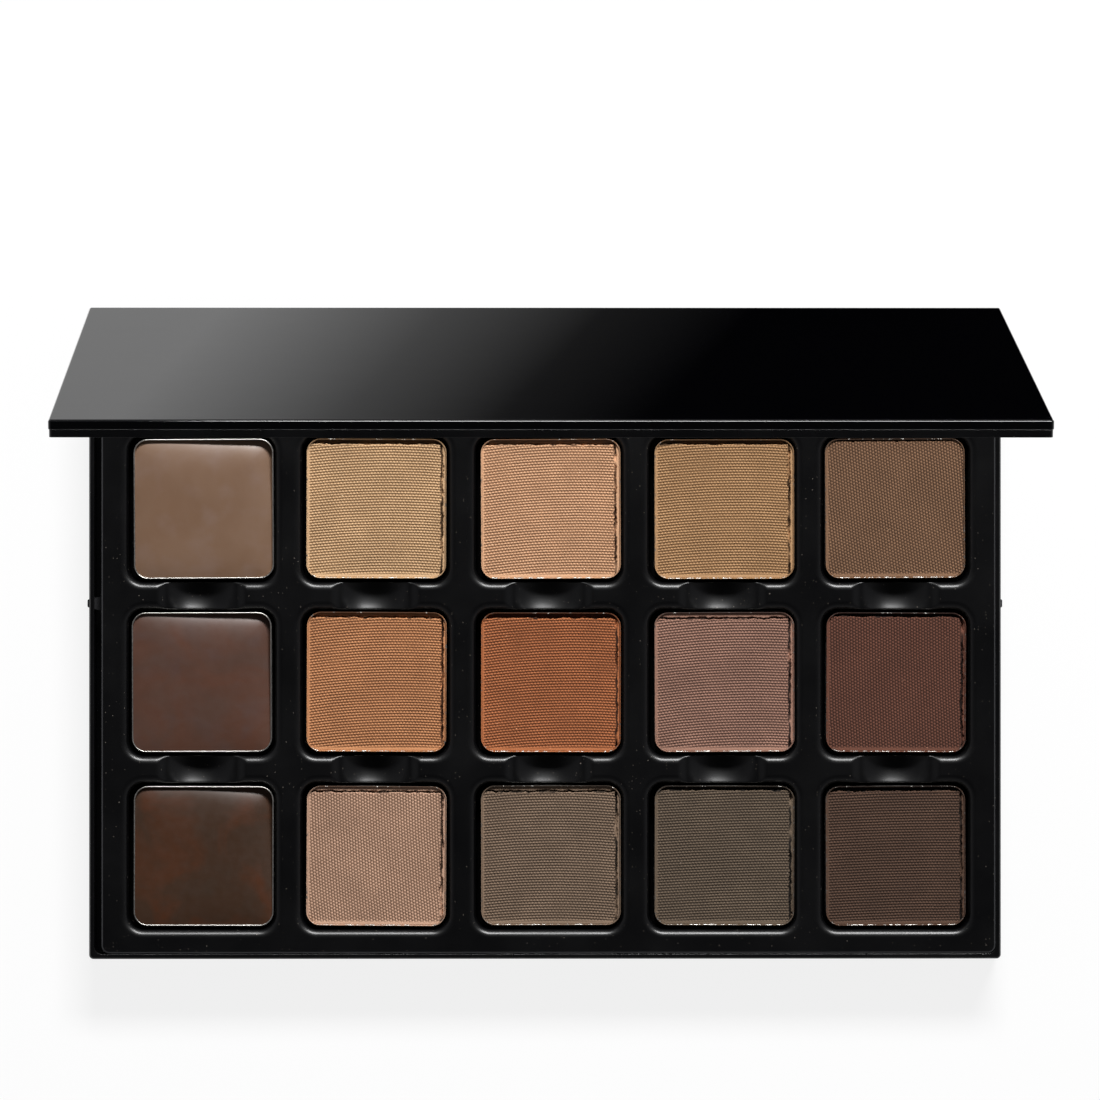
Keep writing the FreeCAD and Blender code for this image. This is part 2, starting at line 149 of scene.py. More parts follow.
def mottle(tree, place, grain, detail, inputs=None, **settings):
    """Noise whose features are about one grain across, in millimetres."""
    return add(tree, "ShaderNodeTexNoise", {"Vector": place, "Scale": 1 / (grain * MM), "Detail": detail,
                                            **(inputs or {})}, **settings)


def blend(tree, share, first, second):
    """Mixes two colours, each a hex value or a node."""
    first, second = (linear(tone) if isinstance(tone, str) else tone for tone in (first, second))
    return add(tree, "ShaderNodeMix", {0: share, 6: first, 7: second}, data_type="RGBA")


def new_finish(name):
    """An empty material, its node tree and the place on the piece that its patterns read."""
    material = bpy.data.materials.new(name)
    material.use_nodes = True
    tree = material.node_tree
    tree.nodes.clear()
    return material, tree, add(tree, "ShaderNodeTexCoord").outputs["Object"]


def finished(material, inputs):
    """Gives a material its one principled surface."""
    shader = add(material.node_tree, "ShaderNodeBsdfPrincipled", inputs)
    add(material.node_tree, "ShaderNodeOutputMaterial", {"Surface": shader})
    return material


def dust_specks(tree, place, spacing, share, size):
    """Mask of loose specks: one in a share of the cells of a grid, spacing and size in millimetres."""
    cells = add(tree, "ShaderNodeTexVoronoi", {"Vector": place, "Scale": 1 / (spacing * MM)})
    near = remap(tree, cells.outputs["Distance"], 0.5 * size / spacing, 0.25 * size / spacing)
    lot = add(tree, "ShaderNodeSeparateColor", {"Color": cells.outputs["Color"]})
    chosen = math_node(tree, "LESS_THAN", lot.outputs[0], share)
    strength = math_node(tree, "MULTIPLY", near, chosen)
    return math_node(tree, "MULTIPLY", strength, lot.outputs[1])


def gloss_moulded_abs():
    """Gloss-moulded ABS: a polished mould leaves a deep black mirror with a faint ripple and a few specks."""
    material, tree, place = new_finish("gloss_moulded_abs")
    ripple = mottle(tree, place, 9, 1.0)
    smear = mottle(tree, place, 26, 4.0)
    polish = remap(tree, smear, 0.35, 0.75, 0.045, 0.1)
    specks = dust_specks(tree, place, 6.0, 0.3, 0.22)
    tint = blend(tree, specks, "#020203", "#3c3a38")
    bump = add(tree, "ShaderNodeBump", {"Height": ripple, "Strength": 0.03, "Distance": 0.4 * MM})
    return finished(material, {"Base Color": tint, "Roughness": polish, "IOR": 1.53, "Normal": bump})


def satin_moulded_abs():
    """Satin-moulded ABS: a fine eroded mould grain breaks the gloss into a soft grey sheen on every edge."""
    material, tree, place = new_finish("satin_moulded_abs")
    grain = mottle(tree, place, 0.16, 2.0)
    wear = mottle(tree, place, 14, 5.0)
    sheen = remap(tree, wear, 0.3, 0.7, 0.22, 0.32)
    tint = blend(tree, wear, "#030304", "#070708")
    specks = dust_specks(tree, place, 4.0, 0.25, 0.2)
    dusty = blend(tree, specks, tint, "#5a554f")
    bump = add(tree, "ShaderNodeBump", {"Height": grain, "Strength": 0.12, "Distance": 0.02 * MM})
    return finished(material, {"Base Color": dusty, "Roughness": sheen, "IOR": 1.53, "Normal": bump})


def charcoal_moulded_tray():
    """Charcoal polystyrene, vacuum formed: satin skin, stray powder on the deck and a paler band along the
    outer edge.
    """
    material, tree, place = new_finish("charcoal_formed_polystyrene")
    grain = mottle(tree, place, 0.22, 3.0)
    cloud = mottle(tree, place, 11, 5.0)
    tint = blend(tree, cloud, "#030304", "#060607")
    # The band along the outer edge is coloured a paler grey.
    cut = add(tree, "ShaderNodeAttribute", attribute_name="pale_outer_edge")
    edged = blend(tree, cut.outputs["Fac"], tint, "#3a3a3c")
    fine = dust_specks(tree, place, 0.7, 0.35, 0.17)
    coarse = dust_specks(tree, place, 3.2, 0.25, 0.3)
    stray = math_node(tree, "MAXIMUM", fine, coarse)
    dusty = blend(tree, stray, edged, "#8d857c")
    sheen = remap(tree, cloud, 0.3, 0.7, 0.29, 0.37)
    bump = add(tree, "ShaderNodeBump", {"Height": grain, "Strength": 0.1, "Distance": 0.02 * MM})
    return finished(material, {"Base Color": dusty, "Roughness": sheen, "IOR": 1.55,
                               "Specular IOR Level": 0.33, "Normal": bump})


def pressed_tinplate():
    """Deep-drawn tinplate: bright grey metal with fine drawing lines, its lip caked in places with fill."""
    material, tree, place = new_finish("deep_drawn_tinplate")
    stretched = add(tree, "ShaderNodeMapping", {"Vector": place, "Scale": (1.0, 1.0, 0.08)})
    lines = mottle(tree, stretched, 0.25, 3.0)
    polish = remap(tree, lines, 0.3, 0.7, 0.28, 0.46)
    tone = blend(tree, lines, "#a8a6a1", "#cfccc6")
    # The fill colour on the lip carries painted shade at the back and right of the pan.
    fill = add(tree, "ShaderNodeAttribute", attribute_name="fill_colour_and_painted_shade")
    cover = mottle(tree, place, 0.7, 5.0, {"Roughness": 0.65})
    amount = math_node(tree, "ADD", cover, fill.outputs["Alpha"])
    caked = remap(tree, amount, 1.0, 1.12)
    metal = add(tree, "ShaderNodeBsdfPrincipled", {"Base Color": tone, "Roughness": polish, "Metallic": 1.0})
    powder = add(tree, "ShaderNodeBsdfPrincipled", {"Base Color": fill.outputs["Color"], "Roughness": 0.85,
                                                    "Specular IOR Level": 0.2})
    shader = add(tree, "ShaderNodeMixShader", {0: caked, 1: metal, 2: powder})
    add(tree, "ShaderNodeOutputMaterial", {"Surface": shader})
    return material


def cloth_print(tree, row, dot):
    """Height of the cloth's print, 0 to 1: rows of dots, each row set half a dot along from the next."""
    half_turn = math_node(tree, "MULTIPLY", row, math.pi)
    full_turn = math_node(tree, "MULTIPLY", row, 2 * math.pi)
    dot_turn = math_node(tree, "MULTIPLY", dot, 2 * math.pi)
    row_wave, shift_wave, dot_wave = (math_node(tree, "COSINE", turn)
                                      for turn in (full_turn, half_turn, dot_turn))
    dots = math_node(tree, "MULTIPLY", shift_wave, dot_wave)
    weave = math_node(tree, "MULTIPLY_ADD", dots, 1.1, row_wave)
    return remap(tree, weave, -1.15, 2.05)


def pressed_powder(name, shade, painted_hollow_shade, painted_mica_glint):
    """Pressed powder, dry and matt: grit, painted shade in print hollows and broken edges, painted mica
    glints.
    """
    material, tree, place = new_finish("pressed_powder_" + name)
    row, dot, share, whole = (add(tree, "ShaderNodeAttribute", attribute_name=field).outputs["Fac"]
                              for field in ("cloth_row", "cloth_dot", "cloth_share", "unbroken"))
    print_height = cloth_print(tree, row, dot)
    print_mix = add(tree, "ShaderNodeMix", {0: share, 2: SMOOTH_LEVEL, 3: print_height}, data_type="FLOAT")
    relief = math_node(tree, "MULTIPLY", print_mix, whole)
    grit = mottle(tree, place, 0.12, 3.0)
    drift = mottle(tree, place, 7, 4.0)
    # Painted shade: the print's hollows, and the broken edges where the relief is zero, take the darker
    # colour of the hollows.
    painted_hollow_mix = remap(tree, relief, 0.0, 0.6)
    print_with_painted_shade = blend(tree, painted_hollow_mix, painted_hollow_shade, shade)
    uneven = math_node(tree, "ADD", grit, drift)
    strength = remap(tree, uneven, 0.6, 1.4, 0.84, 1.16)
    # Painted shade: broken edges and cracks are darkened to 0.3 of their colour.
    painted_crack_shade = remap(tree, whole, 0.0, 1.0, 0.3, 1.0)
    grit_and_crack_shade = math_node(tree, "MULTIPLY", strength, painted_crack_shade)
    grit_and_painted_shade = add(tree, "ShaderNodeVectorMath", {0: print_with_painted_shade, "Scale": grit_and_crack_shade}, operation="SCALE")
    # Mica specks are real flakes; their lighter colour is a painted highlight.
    mica = dust_specks(tree, place, 0.9, 0.1, 0.24)
    tone = blend(tree, mica, grit_and_painted_shade, painted_mica_glint)
    pressed = add(tree, "ShaderNodeBump", {"Height": print_mix, "Distance": PRINT_BUMP * MM})
    bump = add(tree, "ShaderNodeBump", {"Height": grit, "Strength": 0.25, "Distance": 0.03 * MM,
                                        "Normal": pressed})
    return finished(material, {"Base Color": tone, "Roughness": 0.88, "Specular IOR Level": 0.25,
                               "Normal": bump})


def poured_cream(name, shade, warm, cool):
    """Poured wax cream: smooth and satin, with cloudy drifts of pigment and soft skin marks."""
    material, tree, place = new_finish("poured_cream_" + name)
    drift = mottle(tree, place, 11, 4.0, {"Distortion": 0.6})
    cloud = mottle(tree, place, 5, 5.0)
    warmth = remap(tree, drift, 0.42, 0.68)
    coolth = remap(tree, cloud, 0.5, 0.8, 0.0, 0.6)
    base = blend(tree, warmth, shade, warm)
    tone = blend(tree, coolth, base, cool)
    marks = mottle(tree, place, 1.6, 3.0)
    polish = remap(tree, marks, 0.3, 0.7, 0.4, 0.48)
    bump = add(tree, "ShaderNodeBump", {"Height": marks, "Strength": 0.05, "Distance": 0.1 * MM})
    return finished(material, {"Base Color": tone, "Roughness": polish, "IOR": 1.5, "Normal": bump})


def silvered_glass():
    """Silvered float glass: a clean mirror, its back coating a little warm, with a faint wiped haze."""
    material, tree, place = new_finish("silvered_float_glass")
    wiped = add(tree, "ShaderNodeMapping", {"Vector": place, "Rotation": (0.0, 0.0, 0.5),
                                            "Scale": (0.3, 1.0, 1.0)})
    haze = mottle(tree, wiped, 12, 5.0)
    polish = remap(tree, haze, 0.45, 0.8, 0.012, 0.05)
    tone = blend(tree, haze, "#e6e8e6", "#dcdedb")
    return finished(material, {"Base Color": tone, "Roughness": polish, "Metallic": 1.0})


def worked_metal(name, dark, light, stretch, roughness):
    """Ground or plated metal: fine lines along the work turn the highlight into a soft streak."""
    material, tree, place = new_finish(name)
    drawn = add(tree, "ShaderNodeMapping", {"Vector": place, "Scale": stretch})
    lines = mottle(tree, drawn, 0.2, 4.0)
    tone = blend(tree, lines, dark, light)
    polish = remap(tree, lines, 0.3, 0.7, roughness, roughness + 0.12)
    return finished(material, {"Base Color": tone, "Roughness": polish, "Metallic": 1.0})


def rolled_sheet(name, dark, light, grain, roughness):
    """Rolled rubber or film: an even matt sheet with a fine calendered mottle."""
    material, tree, place = new_finish(name)
    fleck = mottle(tree, place, grain, 4.0)
    tone = blend(tree, fleck, dark, light)
    bump = add(tree, "ShaderNodeBump", {"Height": fleck, "Strength": 0.2, "Distance": 0.03 * MM})
    return finished(material, {"Base Color": tone, "Roughness": roughness, "Normal": bump})


def put(name, data):
    """A new object in the scene."""
    made = bpy.data.objects.new(name, data)
    bpy.context.scene.collection.objects.link(made)
    return made


def new_piece(name, mesh, material):
    """A mesh as a piece of the scene, smooth shaded, with its one finish."""
    piece = put(name, mesh)
    mesh.materials.clear()
    mesh.materials.append(material)
    mesh.shade_smooth()
    return piece


def seat(piece, body, slot, *stands_for):
    """The piece rides on its body and hides the CAD nodes it stands for; the slot is not used."""
    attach(piece, body)
    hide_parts(*stands_for)


def closed_mesh(name, points, faces, sharp=None):
    """A mesh in metres from points in millimetres, merged, with its faces turned outwards."""
    mesh = bpy.data.meshes.new(name)
    mesh.from_pydata([Vector(p) * MM for p in points], [], faces)
    work = bmesh.new()
    work.from_mesh(mesh)
    bmesh.ops.remove_doubles(work, verts=work.verts, dist=MERGE * MM)
    bmesh.ops.dissolve_degenerate(work, edges=work.edges, dist=0.0005 * MM)
    bmesh.ops.recalc_face_normals(work, faces=work.faces)
    work.to_mesh(mesh)
    work.free()
    mesh.shade_smooth()
    if sharp:
        mesh.set_sharp_from_angle(angle=math.radians(sharp))
    return mesh


def skin(rings, points, faces):
    """Adds a skin of quads over rings of equal length, closed round each ring."""
    start = len(points)
    count = len(rings[0])
    for ring in rings:
        points.extend(ring)
    for level in range(len(rings) - 1):
        for i in range(count):
            j = (i + 1) % count
            low = start + level * count
            faces.append((low + i, low + j, low + count + j, low + count + i))
    return start


def capped(rings, points, faces):
    """A skin whose first and last rings are each closed with a face."""
    start = skin(rings, points, faces)
    count = len(rings[0])
    faces.append(tuple(range(start, start + count)))
    faces.append(tuple(range(len(points) - count, len(points))))


def softened(node, material, width, angle=28):
    """A merged copy of a CAD node whose hard edges are rounded over."""
    mesh = nodes[node].data.copy()
    mesh.name = node + "_soft"
    work = bmesh.new()
    work.from_mesh(mesh)
    bmesh.ops.remove_doubles(work, verts=work.verts, dist=MERGE * MM)
    bmesh.ops.dissolve_limit(work, angle_limit=math.radians(1), verts=work.verts, edges=work.edges)
    work.to_mesh(mesh)
    work.free()
    piece = new_piece(node + "_soft", mesh, material)
    mesh.set_sharp_from_angle(angle=math.radians(angle))
    round_over = piece.modifiers.new("round_over", "BEVEL")
    round_over.width = width * MM
    round_over.segments = 3
    round_over.limit_method = "ANGLE"
    round_over.angle_limit = math.radians(angle)
    round_over.harden_normals = True
    round_over.use_clamp_overlap = True
    return piece


def even_shares(count):
    """Places that cut a side into equal lengths, as shares of it."""
    return [i / count for i in range(1, count)]


def rounded_square(half, corner, z, middle, sides=()):
    """A closed ring: four corner arcs, with more points along each straight side at the given shares."""
    ring = []
    reach = half - corner
    for turn in range(4):
        angle = turn * math.pi / 2
        along = Vector((math.cos(angle), math.sin(angle)))
        across = Vector((-along.y, along.x))
        for share in sides:
            ring.append(along * half + across * reach * (2 * share - 1))
        for step in range(ARC_STEPS + 1):
            swing = angle + step / ARC_STEPS * math.pi / 2
            ring.append((along + across) * reach + corner * Vector((math.cos(swing), math.sin(swing))))
    return [(middle[0] + p.x, middle[1] + p.y, z) for p in ring]


# The moulded insert: each cell of the grid is skinned on spokes from its well to the cell's edge.
def notch_share(x):
    """1 in the notch, 0 beside it, with a smooth slope between."""
    share = held((NOTCH_HALF + NOTCH_SLOPE / 2 - abs(x)) / NOTCH_SLOPE)
    return share * share * (3 - 2 * share)


def notch_dip(x, from_bar):
    """How far the deck dips at a point of a bar: the flat notch, and the round scoop set toward the back."""
    flat = NOTCH_DEPTH * notch_share(x)
    under_ball = max(SCOOP_RADIUS ** 2 - x ** 2 - (from_bar - SCOOP_SHIFT) ** 2, 0.0)
    ball = under_ball ** 0.5 + NOTCH_DEPTH - SCOOP_LIFT
    return 0.5 * (flat + ball + math.hypot(flat - ball, SCOOP_BLEND))


def cell_spokes(notch_north, notch_south):
    """Spokes of one cell: direction out of the well, points on the wall and on the cell's edge, notch."""
    half = PITCH / 2
    reach = WELL_HALF - WELL_CORNER
    # Places of the spokes along a bar, close together at the sloping ends of the notch, and along a post.
    notch_end = [round(8.6 - 0.2 * i, 1) for i in range(12)]
    edge_side = [10.0, 9.3, 9.1] + notch_end + [6.1, 5.5, 4.9]
    bar_side = edge_side + [4.5 - 0.25 * i for i in range(37)] + [-x for x in reversed(edge_side)]
    post_side = [7.0, 3.5, 0.0, -3.5, -7.0]
    spokes = []
    for turn in range(4):
        angle = turn * math.pi / 2
        along = Vector((math.cos(angle), math.sin(angle)))
        across = Vector((-along.y, along.x))
        notched = (turn == 1 and notch_north) or (turn == 3 and notch_south)
        for place in reversed(bar_side if turn % 2 else post_side):
            wall = along * WELL_HALF + across * place
            spokes.append((along, wall, along * half + across * place, notched))
        for step in range(ARC_STEPS + 1):
            swing = step / ARC_STEPS * math.pi / 2
            out = along * math.cos(swing) + across * math.sin(swing)
            centre = (along + across) * reach
            stretch = (half - reach) / max(math.cos(swing), math.sin(swing))
            spokes.append((out, centre + out * WELL_CORNER, centre + out * stretch, False))
    return spokes


def insert_cell(points, faces, middle, notch_north, notch_south):
    """The deck, rim, wall and floor of one well, and the cup under it."""
    half = PITCH / 2
    spokes = cell_spokes(notch_north, notch_south)

    def on_deck(spot, notched):
        from_bar = (half - abs(spot.y)) * (-1 if spot.y > 0 else 1)
        return DECK_TOP - (notch_dip(spot.x, from_bar) if notched else 0.0)

    def fillet(wall, notched):
        return RIM_FILLET + (NOTCH_FILLET - RIM_FILLET) * (notch_share(wall.x) if notched else 0.0)

    def under(spot, notched):
        return DECK_UNDERSIDE - (BRIDGE_DEPTH if notched and abs(spot.x) < BRIDGE_HALF else 0.0)

    def at(spot, z):
        return (middle[0] + spot.x, middle[1] + spot.y, z)

    cup = [(wall + out * CUP_WALL, notched) for out, wall, edge, notched in spokes]
    rings = [
        [at(wall + out * (CUP_WALL - CUP_CHAMFER), CUP_FOOT) for out, wall, edge, notched in spokes],
        [at(spot, CUP_FOOT + CUP_CHAMFER) for spot, notched in cup],
        [at(spot, under(spot, notched)) for spot, notched in cup],
        [at(edge, under(edge, notched)) for out, wall, edge, notched in spokes],
    ]
    start = skin(rings, points, faces)
    faces.append(tuple(range(start, start + len(spokes))))
    deck_steps = 8
    rings = []
    for step in range(deck_steps):
        ring = []
        for out, wall, edge, notched in spokes:
            spot = edge.lerp(wall + out * fillet(wall, notched), step / deck_steps)
            ring.append(at(spot, on_deck(spot, notched)))
        rings.append(ring)
    fillet_steps = 7
    for step in range(fillet_steps + 1):
        swing = step / fillet_steps * math.pi / 2
        ring = []
        for out, wall, edge, notched in spokes:
            spot = wall + out * fillet(wall, notched) * (1 - math.sin(swing))
            ring.append(at(spot, on_deck(spot, notched) - fillet(wall, notched) * (1 - math.cos(swing))))
        rings.append(ring)
    turn_in = 0.3 * FLOOR_FILLET
    for inset, z in ((0.0, WELL_FLOOR + 2 * FLOOR_FILLET), (0.0, WELL_FLOOR + FLOOR_FILLET),
                     (turn_in, WELL_FLOOR + turn_in), (FLOOR_FILLET, WELL_FLOOR)):
        rings.append([at(wall - out * inset, z) for out, wall, edge, notched in spokes])
    start = skin(rings, points, faces)
    last = start + (len(rings) - 1) * len(spokes)
    faces.append(tuple(range(last, last + len(spokes))))


def insert_border(points, faces):
    """The margin of the deck round the grid, its rounded outer edge and its underside."""
    block_x = COLUMNS * PITCH / 2
    block_y = ROWS * PITCH / 2
    sides = {0: [], 1: []}
    for out, wall, edge, notched in cell_spokes(False, False):
        if abs(edge.x - PITCH / 2) < 1e-6:
            sides[0].append(edge.y)
        if abs(edge.y - PITCH / 2) < 1e-6:
            sides[1].append(-edge.x)
    columns = []
    for turn in range(4):
        angle = turn * math.pi / 2
        along = Vector((math.cos(angle), math.sin(angle)))
        across = Vector((-along.y, along.x))
        count, length, width = (COLUMNS, block_x, block_y) if turn % 2 else (ROWS, block_y, block_x)
        if turn % 2:
            reach = INSERT_HALF_DEPTH - along.y * MIDDLE_ROW_Y
        else:
            reach = INSERT_HALF_WIDTH
        for cell in range(count):
            for place in sorted(set(round(s, 5) for s in sides[turn % 2])):
                run = (cell - (count - 1) / 2) * PITCH + place
                columns.append((along * width + across * run, along * reach + across * run, along))
        corner = along * width + across * length
        next_reach = INSERT_HALF_WIDTH if turn % 2 else INSERT_HALF_DEPTH - across.y * MIDDLE_ROW_Y
        centre = along * (reach - INSERT_CORNER) + across * (next_reach - INSERT_CORNER)
        for step in range(ARC_STEPS + 1):
            swing = step / ARC_STEPS * math.pi / 2
            out = along * math.cos(swing) + across * math.sin(swing)
            columns.append((corner, centre + out * INSERT_CORNER, out))

    def round_grid(z):
        return [(inner.x, inner.y + MIDDLE_ROW_Y, z) for inner, outer, out in columns]

    def round_edge(inset, z):
        return [(outer.x - out.x * inset, outer.y - out.y * inset + MIDDLE_ROW_Y, z)
                for inner, outer, out in columns]

    rings = [round_grid(DECK_TOP), round_edge(1.5 * INSERT_EDGE, DECK_TOP)]
    for swing in (0, 18, 36, 54, 72, 90):
        inset = INSERT_EDGE * (1 - math.sin(math.radians(swing)))
        drop = INSERT_EDGE * (1 - math.cos(math.radians(swing)))
        rings.append(round_edge(inset, DECK_TOP - drop))
    rings += [round_edge(0.0, DECK_UNDERSIDE), round_grid(DECK_UNDERSIDE)]
    skin(rings, points, faces)


def snap_tabs(points, faces):
    """The leg and hook on each side that snap into the shell's windows."""
    for side in (-1, 1):
        edge = side * INSERT_HALF_WIDTH
        tip = side * HOOK_REACH - INSERT_SHIFT
        plan = ((TAB_WELD, -TAB_HALF), (TAB_WELD, TAB_HALF), (TAB_LEG, TAB_HALF), (TAB_LEG, -TAB_HALF))
        leg = [[(edge - side * inset, TAB_Y + y, z) for inset, y in plan]
               for z in (TAB_FOOT, DECK_UNDERSIDE + TAB_WELD)]
        # Stations of the hook from its root to its tip: place, half width and rise of the lower face.
        stations = ((edge - side * 0.5, 1.5, 0.0), (tip - side * 0.12, 0.72, 0.28), (tip, 0.56, 0.42))
        hook = []
        for x, half, rise in stations:
            low = HOOK_LOW + rise
            corners = ((-1, low), (1, low), (1, HOOK_HIGH), (-1, HOOK_HIGH))
            hook.append([(x, TAB_Y + y * half, z) for y, z in corners])
        for rings in (leg, hook):
            capped(rings, points, faces)


def make_insert(material):
    """The whole insert as one mesh, with an attribute that marks a narrow band along its outer edge."""
    points, faces = [], []
    for row in range(ROWS):
        for column in range(COLUMNS):
            middle = ((column - 2) * PITCH, MIDDLE_ROW_Y + (1 - row) * PITCH)
            insert_cell(points, faces, middle, row > 0, row < ROWS - 1)
    insert_border(points, faces)
    snap_tabs(points, faces)
    points = [(x + INSERT_SHIFT, y, z) for x, y, z in points]
    mesh = closed_mesh("insert", points, faces, CREASE_ANGLE)
    pale_outer_edge = mesh.attributes.new("pale_outer_edge", "FLOAT", "POINT")
    for i, vertex in enumerate(mesh.vertices):
        x = abs(vertex.co.x / MM - INSERT_SHIFT)
        y = abs(vertex.co.y / MM)
        edge = max(x - INSERT_HALF_WIDTH, y - INSERT_HALF_DEPTH)
        corner_x = x - INSERT_HALF_WIDTH + INSERT_CORNER
        corner_y = y - INSERT_HALF_DEPTH + INSERT_CORNER
        if corner_x > 0 and corner_y > 0:
            edge = math.hypot(corner_x, corner_y) - INSERT_CORNER
        if edge > -1.1 * INSERT_EDGE:
            pale_outer_edge.data[i].value = 1.0
    return new_piece("insert", mesh, material)


def make_pan(name, node, front, back, caking, material):
    """A drawn pan with a rolled lip; its attribute holds the amount and colour of caked fill, painted shade
    at back and right.
    """
    low, high = (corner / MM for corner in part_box(node))
    middle = ((low.x + high.x) / 2, (low.y + high.y) / 2)
    half = (high.x - low.x) / 2
    lip = PAN_WALL / 2
    # Inset and height along the profile: rounded foot, outer wall, rolled lip, inner wall.
    profile = [(0.9, low.z), (0.3, low.z + 0.08), (0.08, low.z + 0.3), (0.0, low.z + 0.9),
               (0.0, high.z - 1.2)]
    for step in range(ARC_STEPS + 1):
        swing = step / ARC_STEPS * math.pi
        profile.append((lip * (1 - math.cos(swing)), high.z - lip + lip * math.sin(swing)))
    profile += [(PAN_WALL, high.z - 1.0), (PAN_WALL, low.z + PAN_WALL)]
    sides = even_shares(10)
    rings = [rounded_square(half - inset, PAN_CORNER - inset, z, middle, sides) for inset, z in profile]
    points, faces = [], []
    capped(rings, points, faces)
    mesh = closed_mesh(name, points, faces, CREASE_ANGLE)
    fill = mesh.attributes.new("fill_colour_and_painted_shade", "FLOAT_COLOR", "POINT")
    near = Vector(linear(front)[:3])
    far = 0.4 * Vector(linear(back)[:3])
    # What is caked on the lip thins out below the lip, a little more at the back rim and less at the front
    # rim; toward the back and right its colour is painted shade, 0.4 of the back colour.
    for item, vertex in zip(fill.data, mesh.vertices):
        right = (vertex.co.x / MM - middle[0]) / half
        rear = (vertex.co.y / MM - middle[1]) / half
        share = held(max(rear - 0.8, 0.6 * (right - 0.8)) / 0.2)
        lip_share = held((vertex.co.z / MM - high.z) / 0.5 + 1.2)
        bare = 0.05 * (1 - 2 * share) if abs(rear) > 0.9 else 0.0
        item.color = tuple(near.lerp(far, share)) + ((caking - bare) * lip_share,)
    return new_piece(name, mesh, material)


def make_cream(name, node, seed, material):
    """A poured cake: nearly flat in the middle, its edge drawn down unevenly where it met the pan."""
    low, high = (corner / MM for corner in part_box(node))
    middle = ((low.x + high.x) / 2, (low.y + high.y) / 2)
    half = CAKE_HALF
    sides = even_shares(24)
    rings = [rounded_square(half, CAKE_CORNER, low.z, middle, sides)]
    # Rings of the top, close together at the edge and wider apart toward the middle.
    inset = 0.0
    step = 0.06
    while inset < half - 0.4:
        ring = []
        for x, y, z in rounded_square(half - inset, max(CAKE_CORNER - inset, 0.25), 0.0, middle, sides):
            drift = noise.noise(Vector((x * 0.07, y * 0.07, seed)))
            swell = noise.noise(Vector((x * 0.16, y * 0.16, seed + 9.0)))
            right = (x - middle[0]) / half
            rear = (y - middle[1]) / half
            from_edge = half * (1 - (right ** 8 + rear ** 8) ** 0.125)
            toward_key = max(0.5 * right + 0.8 * rear, -0.3)
            drop = max(0.75 + 0.85 * toward_key + 0.4 * drift, 0.5) * math.exp(-from_edge / CREAM_SHOULDER)
            ring.append((x, y, high.z + CREAM_CROWN - drop + 0.06 * swell * (1 - math.exp(-from_edge / 2))))
        rings.append(ring)
        inset += step
        step = min(step * 1.22, 0.7)
    points, faces = [], []
    capped(rings, points, faces)
    return new_piece(name, closed_mesh(name, points, faces, 60), material)


